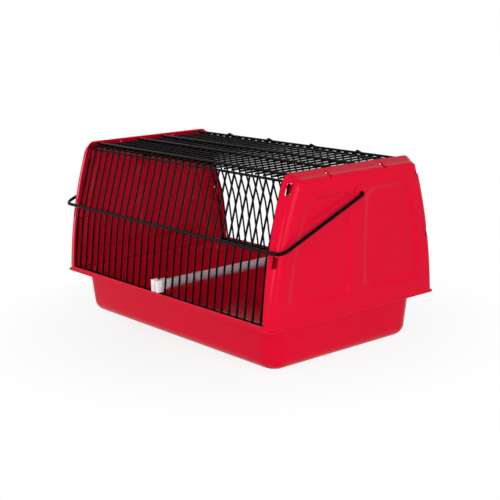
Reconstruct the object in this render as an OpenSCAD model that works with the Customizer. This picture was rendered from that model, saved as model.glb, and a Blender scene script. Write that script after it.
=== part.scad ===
// Bird travel carrier: a deep plastic tray carries two dished plastic end panels.
// Welded wire grilles close the front, the back and the roof.
// The roof grille hinges along the rear top rail, and a wire bail handle swings over the top.
// Frame: +X along the carrier, -Y is the front, +Z up, origin under the middle of the tray.

/* [Wire grilles] */
// Number of upright wires in each side grille between the end panels
upright_count = 28; // [14:2:34]
// Spacing of the upright and roof wires, centre to centre
wire_pitch = 9.9; // [8.5:0.1:12]
// Diameter of the upright and roof wires
wire_d = 1.8; // [1.4:0.1:2.2]
// Diameter of the lengthwise rails
rail_d = 2.2; // [1.8:0.1:2.6]
// Height above the tray rim at which the uprights bend inwards
bend_h = 51.5; // [40:0.5:60]
// Radius of that bend
bend_r = 60; // [30:5:80]
// How far the bend stands further in from the panel edge than the foot
bend_inset = 0.8; // [0.6:0.1:2]
// Room between the top rail and the inside of the panel edge
top_inset = 1.8; // [1.2:0.1:3]
// Depth to which crossing wires are welded into each other
weld = 0.2; // [0.1:0.05:0.3]

/* [Roof grille] */
// How far the roof rails lie below the top of the end panels
roof_drop = 1.2; // [0.4:0.1:2]
// Distance of the two middle roof rails from the centre line
mid_rail_y = 14.5; // [8:0.5:24]
// Distance of the outer roof rails back from the top rails of the grilles
edge_rail_back = 7.8; // [6.5:0.1:12]
// Diameter of the wire that the hinge clips are bent from
clip_d = 1.5; // [1:0.1:1.8]
// Number of hinge clips along the rear edge
clip_count = 4; // [2:2:6]

/* [End panels] */
// Half the depth of the carrier over the feet of the end panels
rim_half_y = 95.8; // [85:0.1:110]
// Height of the end panels above the tray rim
panel_h = 121.6; // [105:0.1:140]
// Depth of the dished panel at its foot, from rim to outer face
panel_depth = 9.3; // [8.5:0.1:14]
// Distance from the last open upright to the rim of the panel
rim_gap = 6.55; // [4.5:0.05:9]
// How far inside the rim the end wires of the side grilles stand
end_wire_in = 1.4; // [1.2:0.1:1.8]
// Wall thickness of the panels
panel_wall = 1.6; // [1.2:0.1:2]
// Outward lean of the flat outer face, in degrees
panel_lean = 1.86; // [0:0.02:3]
// Radius of the gentle curve of the panel's front and rear edges
side_r = 400; // [320:10:600]
// Lean of those edges at the foot, in degrees
foot_lean = 2.5; // [1:0.1:4]
// Radius of the top corners at the rim
corner_r = 9; // [7:0.5:14]
// Rounding between the skirt and the outer face
edge_round = 3; // [2:0.5:4]
// Inset of the outer face from the rim at the foot
face_inset = 1.2; // [0.6:0.1:1.8]
// Extra lean of the outer face's front and rear edges, in degrees
face_lean = 1.5; // [0.5:0.1:2.5]
// Inset of the outer face from the rim at the top
face_drop = 4; // [3:0.1:6]
// Depth of the two moulded hollows in the outer face
pocket_depth = 2.4; // [1:0.1:3]
// Flat margin round the hollows
pocket_margin = 14.5; // [12:0.5:20]
// Width of the slope down into the hollows
pocket_slope = 15; // [8:0.5:18]
// Rounding of the hollows' corners
pocket_round = 5; // [2:0.5:8]
// Half the width of the flat rib between the hollows
rib_half = 8; // [7.5:0.5:12]

/* [Cut-outs in the panels] */
// Distance from the rim to the cut-outs
window_in = 2.8; // [2:0.1:4]
// Height above the tray rim of the middle cut-outs and their hooks
mid_hook_h = 54.2; // [46:0.1:62]
// Distance below the top of the panel of the corner cut-outs and their hooks
top_hook_drop = 11.6; // [10.5:0.1:16]
// Height of the middle and corner cut-outs
window_h = 9.4; // [8.2:0.1:11]
// Distance of the top cut-outs from the centre line
notch_y = 31.3; // [24:0.1:40]
// Width of the top cut-outs
notch_w = 4.8; // [4:0.1:8]
// Depth of the top cut-outs
notch_h = 7; // [5:0.1:9]
// Thickness of the hooks that hold the end wires
hook_t = 1.6; // [1.2:0.1:2]
// Height of the hooks
hook_h = 6; // [4:0.5:7]

/* [Tray] */
// Height of the tray to the top of its rim flange
tray_h = 41.3; // [34:0.1:60]
// Wall thickness of the tray
tray_wall = 1.8; // [1.4:0.1:2.4]
// Width of the flange outside the tray wall
flange_w = 11.5; // [9.5:0.1:14]
// How far the flange shows beyond the end panels
flange_show = 0.5; // [0.2:0.1:1.5]
// How much the walls draw in towards the floor on each side
tray_draft = 2.4; // [1:0.1:5]
// Radius between the floor and the walls
floor_r = 14; // [8:0.5:18]
// Radius of the upright corners
tray_corner_r = 14; // [10:0.5:20]
// Height of the raised lips that hold the bottom rails
lip_h = 3; // [2.4:0.1:3.2]
// Thickness of the raised lips
lip_t = 1.6; // [1.2:0.1:2]

/* [Handle] */
// Diameter of the bail wire
bail_d = 3; // [2.4:0.1:3.6]
// Distance of the handle pivot below the top of the panels
pivot_drop = 22.4; // [20:0.1:28]
// Height above the tray rim at which the grip rests
grip_h = 62.2; // [56:0.1:75]
// Bend radius at the pivots, on the centre line
elbow_r = 2.5; // [2.2:0.1:4]
// Bend radius at the corners of the grip, on the centre line
grip_r = 8; // [5:0.5:14]
// Diameter of the round bosses that the bail turns in
boss_d = 14; // [10:0.5:15]
// Height of the bosses over the outer face
boss_h = 1.6; // [1.2:0.1:2.4]
// Side play between the bosses and the bends of the bail
arm_gap = 0.3; // [0.2:0.05:1]
// Length of wire that stands inside the panel
stub_in = 6; // [4:0.5:8]

/* [Perch] */
// Diameter of the perch rod
perch_d = 8.8; // [7:0.1:9.4]
// Diameter of the collars on its end clips
collar_d = 11; // [10.6:0.1:12]
// Length of the collars
collar_l = 6; // [4:0.5:9]
// Width of the clip heads
head_w = 10; // [8:0.5:12]
// Height of the clip heads
head_h = 10.6; // [10:0.2:12]
// How far the clip heads stand out past the wires
head_out = 4.4; // [3:0.1:6]
// Index of the upright that the perch clips on, counted from the middle
perch_wire = -1; // [-6:1:6]

/* [Fits] */
// Gap left between pieces that rest on each other
seat = 0.3; // [0.2:0.05:0.4]
// Radial play of the turning fits
running = 0.05; // [0.02:0.01:0.1]

/* [Hidden] */
red = "#d8203a";
black = "#1c1c1f";
white = "#e9e6e2";
// Hundredths of a millimetre, so that the pieces of a bent wire meet face to face
function round_off(v) = round(v * 100) / 100;
wire_r = wire_d / 2;
rail_r = rail_d / 2;
bail_r = bail_d / 2;
clip_r = clip_d / 2;
round_fn = 24;
slab = 0.02;

// Heights
rim_z = tray_h;
panel_top = rim_z + panel_h;
roof_rail_z = panel_top - roof_drop - rail_r;
roof_wire_z = roof_rail_z - rail_r - wire_r + weld;
top_rail_z = roof_wire_z - wire_r - seat - rail_r;
bottom_rail_z = rim_z + seat + rail_r;
bend_z = rim_z + bend_h;
mid_hook_z = rim_z + mid_hook_h;
top_hook_z = panel_top - top_hook_drop;
pivot_z = panel_top - pivot_drop;
grip_z = rim_z + grip_h;

// Places along the carrier
open_wire_x = (upright_count - 1) / 2 * wire_pitch;
rim_x = open_wire_x + rim_gap;
end_wire_x = rim_x + end_wire_in;
face_x = rim_x + panel_depth;
roof_rail_end = rim_x - 2 * seat;
side_rail_end = end_wire_x + rail_r;
pivot_face_x = face_x + (pivot_z - rim_z) * tan(panel_lean);
arm_x = round_off(pivot_face_x + boss_h + arm_gap + elbow_r);

// The panel's front and rear edges are arcs in the plane across the carrier: centre y, centre z, radius
function edge_arc(foot, lean) = [foot - side_r * cos(lean), rim_z - side_r * sin(lean), side_r];
rim_arc = edge_arc(rim_half_y, foot_lean);
face_arc = edge_arc(rim_half_y - face_inset, foot_lean + face_lean);
function edge_y(z) = rim_arc[0] + sqrt(pow(rim_arc[2], 2) - pow(z - rim_arc[1], 2));

// The uprights follow that edge on the inside: foot, bend and top
upright_top_z = roof_wire_z - wire_r - 1.5 * seat;
skirt_in = panel_wall + seat + wire_r + face_inset * (end_wire_in + wire_r) / (panel_depth - edge_round);
foot_y = rim_half_y - skirt_in;
bend_y = edge_y(bend_z) - skirt_in - bend_inset;
top_y = edge_y(upright_top_z) - panel_wall - rail_d - wire_r - top_inset;
lower_tilt = atan2(foot_y - bend_y, bend_z - rim_z);
upper_tilt = atan2(bend_y - top_y, upright_top_z - bend_z);
tangent_l = bend_r * tan((upper_tilt - lower_tilt) / 2);
foot_end_z = rim_z + seat + wire_r * sin(lower_tilt);
wire_top_z = upright_top_z - wire_r * sin(upper_tilt);
function lower_y(z) = bend_y + (bend_z - z) * tan(lower_tilt);
function upper_y(z) = bend_y - (z - bend_z) * tan(upper_tilt);
function wire_y(z) = z < bend_z ? lower_y(z) : upper_y(z);
weld_step = wire_r + rail_r - weld;
top_rail_y = upper_y(top_rail_z - weld_step * sin(upper_tilt)) + weld_step * cos(upper_tilt);
bottom_rail_y = lower_y(bottom_rail_z + weld_step * sin(lower_tilt)) - weld_step * cos(lower_tilt);
edge_rail_y = top_rail_y - edge_rail_back;
roof_rear_end = top_rail_y - wire_r - rail_r - weld - 2;
roof_front_end = top_rail_y + wire_r;

// Outline of a panel across the carrier: curved side and rounded top corner, drawn in by a step
function corner_c(arc, inset, r, top) =
    [arc[0] + sqrt(pow(arc[2] - inset - r, 2) - pow(top - r - arc[1], 2)), top - r];
function outline_side(arc, inset, r, top, low, steps = 8) =
    let (c = corner_c(arc, inset, r, top),
         reach = arc[2] - inset,
         a_low = asin((low - arc[1]) / reach),
         a_top = atan2(c[1] - arc[1], c[0] - arc[0]))
    concat(
        [for (i = [0:steps])
            let (a = a_low + (a_top - a_low) * i / steps)
            [arc[0] + reach * cos(a), arc[1] + reach * sin(a)]],
        [for (i = [1:steps])
            let (a = a_top + (90 - a_top) * i / steps)
            c + r * [cos(a), sin(a)]]);
function flip(points) = [for (i = [len(points) - 1:-1:0]) [-points[i][0], points[i][1]]];

// Turns a drawing of the plane across the carrier upright, with its extrusion along X
module across() {
    rotate([90, 0, 90])
        children();
}

// Puts its children on the panel's leaning outer face, at a depth below that face
module on_face(depth) {
    translate([face_x, 0, rim_z])
        rotate([0, panel_lean, 0])
            translate([-depth, 0, -rim_z])
                children();
}

module panel_outline(arc, inset, r, top, low) {
    side = outline_side(arc, inset, r, top, low);
    polygon(concat(side, flip(side)));
}

// The solid form of the dish, drawn in all round by a wall thickness
module dish_form(wall) {
    open = wall > 0 ? 2 : 0;
    hull() {
        translate([rim_x - open, 0, 0])
            across()
                linear_extrude(open + slab)
                    panel_outline(rim_arc, wall, corner_r - wall / 2, panel_top - wall, rim_z - 2);
        for (a = [0:30:90]) {
            step = edge_round * (1 - cos(a)) + wall;
            top = panel_top - face_drop - step;
            on_face(wall + edge_round * (1 - sin(a)) + slab)
                across()
                    linear_extrude(slab)
                        panel_outline(face_arc, step, corner_r - wall / 2, top, rim_z - 2);
        }
    }
}

// One hollow of the outer face: sloping sides down to a flat floor
module pocket(side, sink, lift) {
    hull() {
        pocket_slice(side, 0, sink - lift, lift);
        pocket_slice(side, pocket_slope, sink + pocket_depth, slab);
    }
}

// The slopes at the top, at the foot and along the rib are half as wide as at the side
module pocket_slice(side, step, depth, thick) {
    inner = rib_half + step / 2;
    low = rim_z + pocket_margin + step / 2;
    top = panel_top - face_drop - pocket_margin - step / 2;
    on_face(depth)
        across()
            linear_extrude(thick)
                offset(r = pocket_round, $fn = 24)
                    offset(delta = -pocket_round)
                        intersection() {
                            panel_outline(face_arc, pocket_margin + step, corner_r + pocket_slope - step / 2, top, low);
                            translate([side > 0 ? inner : -inner - rim_half_y, 0])
                                square([rim_half_y, 2 * panel_h]);
                        }
}

// A hook behind a cut-out: its arm passes inside the end wire and its barb holds it
module hook(z, side, tilt) {
    y = wire_y(z);
    face = face_x + (z - rim_z) * tan(panel_lean);
    inner = -wire_r - seat - hook_t;
    tip = end_wire_x - wire_r - seat - hook_t;
    root = face - panel_wall - 2 * hook_t;
    scale_side = side > 0 ? 0 : 1;
    mirror([0, scale_side, 0])
        translate([0, y, z])
            rotate([tilt, 0, 0])
                translate([0, 0, -hook_h / 2])
                    linear_extrude(hook_h)
                        polygon([
                            [tip, inner],
                            [root, inner],
                            [root, inner - 3 * hook_t],
                            [face - panel_wall / 2, inner - 3 * hook_t],
                            [face - panel_wall / 2, inner + hook_t],
                            [tip + hook_t, inner + hook_t],
                            [tip + hook_t, inner + hook_t + wire_r],
                            [tip, inner + hook_t]]);
}

// Cut-outs through the skirt and the edge of the face
module side_window(z, side) {
    inner = wire_y(z) - wire_r - seat - 2 * hook_t;
    low_y = side > 0 ? inner : -inner - rim_half_y;
    translate([rim_x + window_in, low_y, z - window_h / 2])
        cube([4 * panel_depth, rim_half_y, window_h]);
}

module top_window(side) {
    translate([rim_x + window_in, side * notch_y - notch_w / 2, panel_top - notch_h])
        cube([4 * panel_depth, notch_w, 2 * notch_h]);
}

// Right-hand end panel: a dish open towards the cabin, standing on the tray flange
module end_panel() {
    difference() {
        union() {
            difference() {
                dish_form(0);
                dish_form(panel_wall);
                for (side = [-1, 1]) {
                    side_window(mid_hook_z, side);
                    side_window(top_hook_z, side);
                    top_window(side);
                }
            }
            for (side = [-1, 1]) {
                pocket(side, panel_wall, panel_wall / 2);
                hook(mid_hook_z, side, (lower_tilt + upper_tilt) / 2);
                hook(top_hook_z, side, upper_tilt);
            }
            translate([pivot_face_x - panel_wall - boss_h, 0, pivot_z])
                rotate([0, 90, 0])
                    cylinder(d = boss_d, h = panel_wall + 2 * boss_h, $fn = 2 * round_fn);
        }
        for (side = [-1, 1])
            pocket(side, 0, 2);
        translate([rim_x, 0, pivot_z])
            rotate([0, 90, 0])
                cylinder(r = bail_r + running, h = 3 * panel_depth, $fn = 2 * round_fn);
        translate([rim_x - 5, -2 * rim_half_y, rim_z - 20])
            cube([4 * panel_depth, 4 * rim_half_y, 20]);
    }
}

module right_panel() {
    color(red)
        end_panel();
}

module left_panel() {
    color(red)
        mirror([1, 0, 0])
            end_panel();
}

// Tray
flange_x = face_x + flange_show;
flange_y = rim_half_y + flange_show;
flange_t = tray_wall;

module tray_slice(inset, r, z, thick = slab) {
    translate([0, 0, z])
        linear_extrude(thick)
            offset(r = r, $fn = 32)
                square([2 * (flange_x - flange_w - inset - r), 2 * (flange_y - flange_w - inset - r)], center = true);
}

// The solid form of the tray, drawn in all round by a wall thickness
module tray_form(wall, top) {
    hull() {
        for (a = [0:15:90]) {
            step = tray_draft + (floor_r - wall) * (1 - sin(a)) + wall;
            radius = max(tray_corner_r - wall - (floor_r - wall) * (1 - sin(a)), 2);
            tray_slice(step, radius, wall + (floor_r - wall) * (1 - cos(a)));
        }
        tray_slice(wall, tray_corner_r - wall, top - slab);
    }
}

module lip(side) {
    translate([-rim_x + seat, side * (flange_y - lip_t / 2), rim_z - flange_t / 2])
        across()
            linear_extrude(2 * (rim_x - seat)) {
                translate([-lip_t / 2, 0])
                    square([lip_t, lip_h + flange_t / 2 - lip_t / 2]);
                translate([0, lip_h + flange_t / 2 - lip_t / 2])
                    circle(d = lip_t, $fn = round_fn);
            }
}

module tray() {
    color(red) {
        difference() {
            union() {
                tray_form(0, rim_z - flange_t / 2);
                translate([0, 0, rim_z - flange_t])
                    linear_extrude(flange_t)
                        offset(r = 4, $fn = 32)
                            square([2 * (flange_x - 4), 2 * (flange_y - 4)], center = true);
            }
            tray_form(tray_wall, rim_z + 1);
        }
        lip(-1);
        lip(1);
    }
}

// One straight end of an upright with a little over half of the bend; the bend's centre is the origin
module half_upright(length, turn, start, way) {
    translate([bend_r, 0, 0])
        rotate([way, 0, 0])
            cylinder(r = wire_r, h = length, $fn = round_fn);
    rotate_extrude(angle = turn, start = start, $fn = 360)
        translate([bend_r, 0])
            circle(r = wire_r, $fn = round_fn);
}

// One upright wire: straight foot, bend, straight top
module upright(x) {
    low_end = [bend_y + tangent_l * sin(lower_tilt), bend_z - tangent_l * cos(lower_tilt)];
    high_z = bend_z + tangent_l * cos(upper_tilt);
    centre = low_end - bend_r * [cos(lower_tilt), sin(lower_tilt)];
    turn = 0.6 * (upper_tilt - lower_tilt);
    translate([x, centre[0], centre[1]])
        across() {
            rotate([0, 0, lower_tilt])
                half_upright((low_end[1] - foot_end_z) / cos(lower_tilt), turn, 0, 90);
            rotate([0, 0, upper_tilt])
                half_upright((wire_top_z - high_z) / cos(upper_tilt), turn, -turn, -90);
        }
}

module uprights() {
    for (k = [0:upright_count - 1])
        upright(k * wire_pitch - open_wire_x);
    upright(-end_wire_x);
    upright(end_wire_x);
}

module rail(half, y, z) {
    translate([-half, y, z])
        rotate([0, 90, 0])
            cylinder(r = rail_r, h = 2 * half, $fn = round_fn);
}

module front_uprights() {
    color(black)
        mirror([0, 1, 0])
            uprights();
}

module rear_uprights() {
    color(black)
        uprights();
}

module front_top_rail() {
    color(black)
        rail(side_rail_end, -top_rail_y, top_rail_z);
}

module rear_top_rail() {
    color(black)
        rail(side_rail_end, top_rail_y, top_rail_z);
}

module front_bottom_rail() {
    color(black)
        rail(side_rail_end, -bottom_rail_y, bottom_rail_z);
}

module rear_bottom_rail() {
    color(black)
        rail(side_rail_end, bottom_rail_y, bottom_rail_z);
}

// Roof grille: short wires from front to rear under four lengthwise rails
module roof_wires() {
    color(black)
        for (k = [0:upright_count - 1])
            translate([k * wire_pitch - open_wire_x, -roof_front_end, roof_wire_z])
                rotate([-90, 0, 0])
                    cylinder(r = wire_r, h = roof_front_end + roof_rear_end, $fn = round_fn);
}

module roof_front_rail() {
    color(black)
        rail(roof_rail_end, -edge_rail_y, roof_rail_z);
}

module roof_front_mid_rail() {
    color(black)
        rail(roof_rail_end, -mid_rail_y, roof_rail_z);
}

module roof_rear_mid_rail() {
    color(black)
        rail(roof_rail_end, mid_rail_y, roof_rail_z);
}

module roof_rear_rail() {
    color(black)
        rail(roof_rail_end, edge_rail_y, roof_rail_z);
}

// A closed wire loop round the rear top rail and the rear roof rail, between two roof wires
module hinge_clip(x) {
    loop_r = rail_r + running + clip_r;
    reach = norm([edge_rail_y - top_rail_y, roof_rail_z - top_rail_z]);
    turn = atan2(roof_rail_z - top_rail_z, edge_rail_y - top_rail_y);
    translate([x, top_rail_y, top_rail_z])
        across()
            rotate([0, 0, turn]) {
                rotate_extrude(angle = 180, start = 90, $fn = 2 * round_fn)
                    translate([loop_r, 0])
                        circle(r = clip_r, $fn = round_fn);
                translate([reach, 0, 0])
                    rotate_extrude(angle = 180, start = -90, $fn = 2 * round_fn)
                        translate([loop_r, 0])
                            circle(r = clip_r, $fn = round_fn);
                for (side = [-1, 1])
                    translate([0, side * loop_r, 0])
                        rotate([0, 90, 0])
                            cylinder(r = clip_r, h = reach, $fn = round_fn);
            }
}

module roof_hinge_clips() {
    span = floor((upright_count + 2) / (clip_count + 1));
    color(black)
        for (i = [0:clip_count - 1])
            hinge_clip((i - (clip_count - 1) / 2) * 2 * floor(span / 2) * wire_pitch);
}

// Bail: one wire, from stub to elbow, arm, grip corner, grip and back
rest_y = rim_arc[0] + sqrt(pow(side_r + bail_r + seat, 2) - pow(grip_z - rim_arc[1], 2));
arm_l = round_off(norm([rest_y, pivot_z - grip_z]));
rest_dip = atan2(pivot_z - grip_z, rest_y);
stub_x = round_off(pivot_face_x - panel_wall - boss_h - stub_in);

module bail_side() {
    translate([stub_x, 0, 0])
        rotate([0, 90, 0])
            cylinder(r = bail_r, h = arm_x - elbow_r - stub_x, $fn = 2 * round_fn);
    translate([arm_x - elbow_r, -elbow_r, 0])
        rotate_extrude(angle = 90, $fn = 2 * round_fn)
            translate([elbow_r, 0])
                circle(r = bail_r, $fn = 2 * round_fn);
    translate([arm_x, -elbow_r, 0])
        rotate([90, 0, 0])
            cylinder(r = bail_r, h = arm_l - elbow_r - grip_r, $fn = 2 * round_fn);
    translate([arm_x - grip_r, grip_r - arm_l, 0])
        rotate_extrude(angle = 90, start = -90, $fn = 2 * round_fn)
            translate([grip_r, 0])
                circle(r = bail_r, $fn = 2 * round_fn);
}

module bail_handle() {
    color(black)
        translate([0, 0, pivot_z])
            rotate([rest_dip, 0, 0]) {
                bail_side();
                mirror([1, 0, 0])
                    bail_side();
                translate([grip_r - arm_x, -arm_l, 0])
                    rotate([0, 90, 0])
                        cylinder(r = bail_r, h = 2 * (arm_x - grip_r), $fn = 2 * round_fn);
            }
}

// Perch: a rod between two clips that slide over an upright at the front and at the rear
perch_x = (perch_wire + 0.5) * wire_pitch;
perch_z = rim_z + max(lip_h, rail_d + seat) + seat + head_h / 2;
slot_y = lower_y(perch_z);
head_back = slot_y - wire_r - seat - 1.2;
rod_end = head_back - 1.5;

module perch_rod() {
    color(white)
        translate([perch_x, -rod_end, perch_z])
            rotate([-90, 0, 0])
                cylinder(d = perch_d, h = 2 * rod_end, $fn = 2 * round_fn);
}

module perch_clip() {
    head_end = slot_y + head_out;
    slot_w = wire_d + 2 * running;
    translate([perch_x, 0, perch_z])
        difference() {
            union() {
                translate([0, head_back - collar_l, 0])
                    rotate([-90, 0, 0])
                        cylinder(d = collar_d, h = collar_l, $fn = 2 * round_fn);
                translate([-head_w / 2, head_back, -head_h / 2])
                    cube([head_w, head_end - head_back, head_h]);
            }
            translate([0, head_back - collar_l - 1, 0])
                rotate([-90, 0, 0])
                    cylinder(d = perch_d + 2 * running, h = rod_end + running - head_back + collar_l + 1, $fn = 2 * round_fn);
            translate([-slot_w / 2, slot_y, 0])
                rotate([lower_tilt, 0, 0])
                    translate([0, -wire_r - seat, -head_h])
                        cube([slot_w, head_out * 2 + wire_d, 2 * head_h]);
        }
}

module perch_front_clip() {
    color(white)
        mirror([0, 1, 0])
            perch_clip();
}

module perch_rear_clip() {
    color(white)
        perch_clip();
}

tray();
left_panel();
right_panel();
front_uprights();
front_top_rail();
front_bottom_rail();
rear_uprights();
rear_top_rail();
rear_bottom_rail();
roof_wires();
roof_front_rail();
roof_front_mid_rail();
roof_rear_mid_rail();
roof_rear_rail();
roof_hinge_clips();
bail_handle();
perch_rod();
perch_front_clip();
perch_rear_clip();
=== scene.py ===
import math

import bmesh
import bpy
from mathutils import Matrix, Vector


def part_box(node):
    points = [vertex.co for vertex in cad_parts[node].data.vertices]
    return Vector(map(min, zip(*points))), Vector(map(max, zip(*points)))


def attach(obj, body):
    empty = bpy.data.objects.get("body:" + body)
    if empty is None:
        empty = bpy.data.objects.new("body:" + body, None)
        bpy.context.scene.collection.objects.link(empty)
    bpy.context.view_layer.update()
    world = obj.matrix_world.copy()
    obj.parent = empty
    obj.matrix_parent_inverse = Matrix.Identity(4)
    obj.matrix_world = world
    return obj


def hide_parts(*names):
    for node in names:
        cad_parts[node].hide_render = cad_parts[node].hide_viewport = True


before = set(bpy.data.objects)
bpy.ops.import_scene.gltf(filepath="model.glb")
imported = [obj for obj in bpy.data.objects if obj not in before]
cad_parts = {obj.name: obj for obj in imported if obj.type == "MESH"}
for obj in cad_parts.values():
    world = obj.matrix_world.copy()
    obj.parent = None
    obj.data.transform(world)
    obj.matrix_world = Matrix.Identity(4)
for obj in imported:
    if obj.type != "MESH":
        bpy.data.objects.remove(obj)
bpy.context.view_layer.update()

# Tray
# The real tray is one injection moulding in red polypropylene, drawn from a polished mould with
# rounded floor edges and a flange all round. Two lips on the flange hold the bottom rails.

MM = 0.001
tray_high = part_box("tray")[1]
lip_h = 3 * MM
lip_t = 1.6 * MM
rim_z = tray_high.z - lip_h
flange_x = tray_high.x
flange_y = tray_high.y
flange_w = 11.5 * MM
flange_corner_r = 4 * MM
tray_wall = 1.8 * MM
tray_draft = 2.4 * MM
tray_floor_r = 11 * MM
tray_corner_r = 16 * MM
least_corner_r = 2 * MM
floor_centre = 0.9
edge_break = 0.5 * MM


def linear_rgb(hex_colour):
    """An sRGB hex colour as the linear values that shaders take."""
    channels = [int(hex_colour[i:i + 2], 16) / 255 for i in (1, 3, 5)]
    linear = [c / 12.92 if c <= 0.04045 else ((c + 0.055) / 1.055) ** 2.4 for c in channels]
    return (*linear, 1.0)


def add_node(tree, kind, settings=None, values=None, links=None):
    """Adds one node: its settings, plain values for inputs, and links from other nodes."""
    node = tree.nodes.new(kind)
    for name, value in (settings or {}).items():
        setattr(node, name, value)
    for name, value in (values or {}).items():
        node.inputs[name].default_value = value
    for name, (source, output) in (links or {}).items():
        tree.links.new(source.outputs[output], node.inputs[name])
    return node


def new_material(name):
    """An empty node material with its output, and the tree that it is built in."""
    material = bpy.data.materials.new(name)
    material.use_nodes = True
    material.node_tree.nodes.clear()
    return material, material.node_tree


# Injection-moulded polypropylene: a saturated red through the whole wall, with an even, softly
# polished surface, a slight cloudiness of the pigment, and handling marks that dull it in places.
def moulded_polypropylene(name, deep, light):
    material, tree = new_material(name)
    place = add_node(tree, "ShaderNodeTexCoord")
    cloud = add_node(tree, "ShaderNodeTexNoise",
                     values={"Scale": 9.0, "Detail": 2.0, "Roughness": 0.4},
                     links={"Vector": (place, "Object")})
    tint = add_node(tree, "ShaderNodeMix", {"data_type": "RGBA"},
                    {"A": linear_rgb(deep), "B": linear_rgb(light)}, {"Factor": (cloud, "Fac")})
    marks = add_node(tree, "ShaderNodeTexNoise",
                     values={"Scale": 45.0, "Detail": 5.0, "Roughness": 0.6},
                     links={"Vector": (place, "Object")})
    gloss = add_node(tree, "ShaderNodeMapRange",
                     values={"From Min": 0.35, "From Max": 0.75, "To Min": 0.2, "To Max": 0.29},
                     links={"Value": (marks, "Fac")})
    # The real mould texture is about 0.1 mm; it is drawn at 0.4 mm so that it shows close up.
    grain = add_node(tree, "ShaderNodeTexNoise", values={"Scale": 2500.0, "Detail": 1.0},
                     links={"Vector": (place, "Object")})
    fine = add_node(tree, "ShaderNodeBump", values={"Strength": 0.03, "Distance": 0.05 * MM},
                    links={"Height": (grain, "Fac")})
    # Cooled walls draw in a few hundredths of a millimetre, which bends the long reflections.
    wave = add_node(tree, "ShaderNodeTexNoise", values={"Scale": 7.0, "Detail": 0.0},
                    links={"Vector": (place, "Object")})
    bump = add_node(tree, "ShaderNodeBump", values={"Strength": 0.5, "Distance": 1.5 * MM},
                    links={"Height": (wave, "Fac"), "Normal": (fine, "Normal")})
    shader = add_node(tree, "ShaderNodeBsdfPrincipled",
                      values={"IOR": 1.49, "Specular IOR Level": 0.06},
                      links={"Base Color": (tint, "Result"), "Roughness": (gloss, "Result"),
                             "Normal": (bump, "Normal")})
    add_node(tree, "ShaderNodeOutputMaterial", links={"Surface": (shader, "BSDF")})
    return material


red_plastic = moulded_polypropylene("red moulded polypropylene", "#D0082B", "#D80A2F")


def make_piece(name, mesh, material, body, slot, *nodes):
    """Finishes one piece: its material, its body, and the CAD nodes whose place it takes."""
    piece = bpy.data.objects.new(name, mesh)
    bpy.context.scene.collection.objects.link(piece)
    mesh.materials.clear()
    mesh.materials.append(material)
    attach(piece, body)
    if nodes:
        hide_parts(*nodes)
    return piece


def smooth_mesh(bm, name, sharp_deg=40):
    """Turns a bmesh into a mesh with outward normals, smooth except across real edges."""
    bmesh.ops.remove_doubles(bm, verts=bm.verts, dist=0.001 * MM)
    bmesh.ops.recalc_face_normals(bm, faces=bm.faces)
    sharp = math.radians(sharp_deg)
    for face in bm.faces:
        face.smooth = True
    for edge in bm.edges:
        edge.smooth = len(edge.link_faces) == 2 and edge.calc_face_angle(0) < sharp
    mesh = bpy.data.meshes.new(name)
    bm.to_mesh(mesh)
    bm.free()
    return mesh


def rounded_rectangle(half_x, half_y, radius, z, corner_steps=10, side_steps=6):
    """A ring of points round a rectangle with round corners, the same count for every ring."""
    points = []
    corners = ((1, 1, 0), (-1, 1, 90), (-1, -1, 180), (1, -1, 270))
    for sx, sy, start in corners:
        centre = Vector((sx * (half_x - radius), sy * (half_y - radius), z))
        for i in range(corner_steps + 1):
            a = math.radians(start + 90 * i / corner_steps)
            points.append(centre + radius * Vector((math.cos(a), math.sin(a), 0)))
    ring = []
    per_corner = corner_steps + 1
    for c in range(4):
        ring += points[c * per_corner:(c + 1) * per_corner]
        end = points[(c + 1) * per_corner - 1]
        follow = points[((c + 1) % 4) * per_corner]
        ring += [end.lerp(follow, i / side_steps) for i in range(1, side_steps)]
    return ring


def bridge_rings(bm, rings, closed=True):
    """Adds quads between rings of equal length; closed rings join their last point to the first."""
    vert_rings = [[bm.verts.new(p) for p in ring] for ring in rings]
    count = len(rings[0])
    for one, two in zip(vert_rings, vert_rings[1:]):
        for i in range(count if closed else count - 1):
            j = (i + 1) % count
            bm.faces.new((one[i], one[j], two[j], two[i]))
    return vert_rings


def tray_ring(inset, z, radius):
    """One ring of the tray's wall, inset from the wall's top."""
    half_x = flange_x - flange_w - inset
    half_y = flange_y - flange_w - inset
    return rounded_rectangle(half_x, half_y, max(radius, least_corner_r), z)


def tray_wall_rings(wall, top):
    """Rings up one side of the tray wall: the rounded floor edge, then the drafted wall."""
    rings = []
    bend = tray_floor_r - wall
    for a in range(0, 91, 10):
        flat = bend * (1 - math.sin(math.radians(a)))
        height = wall + bend * (1 - math.cos(math.radians(a)))
        rings.append(tray_ring(tray_draft + flat + wall, height, tray_corner_r - wall - flat))
    for step in range(1, 5):
        t = step / 4
        z = wall + bend + t * (top - wall - bend)
        rings.append(tray_ring(wall + tray_draft * (1 - t), z, tray_corner_r - wall))
    return rings


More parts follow.
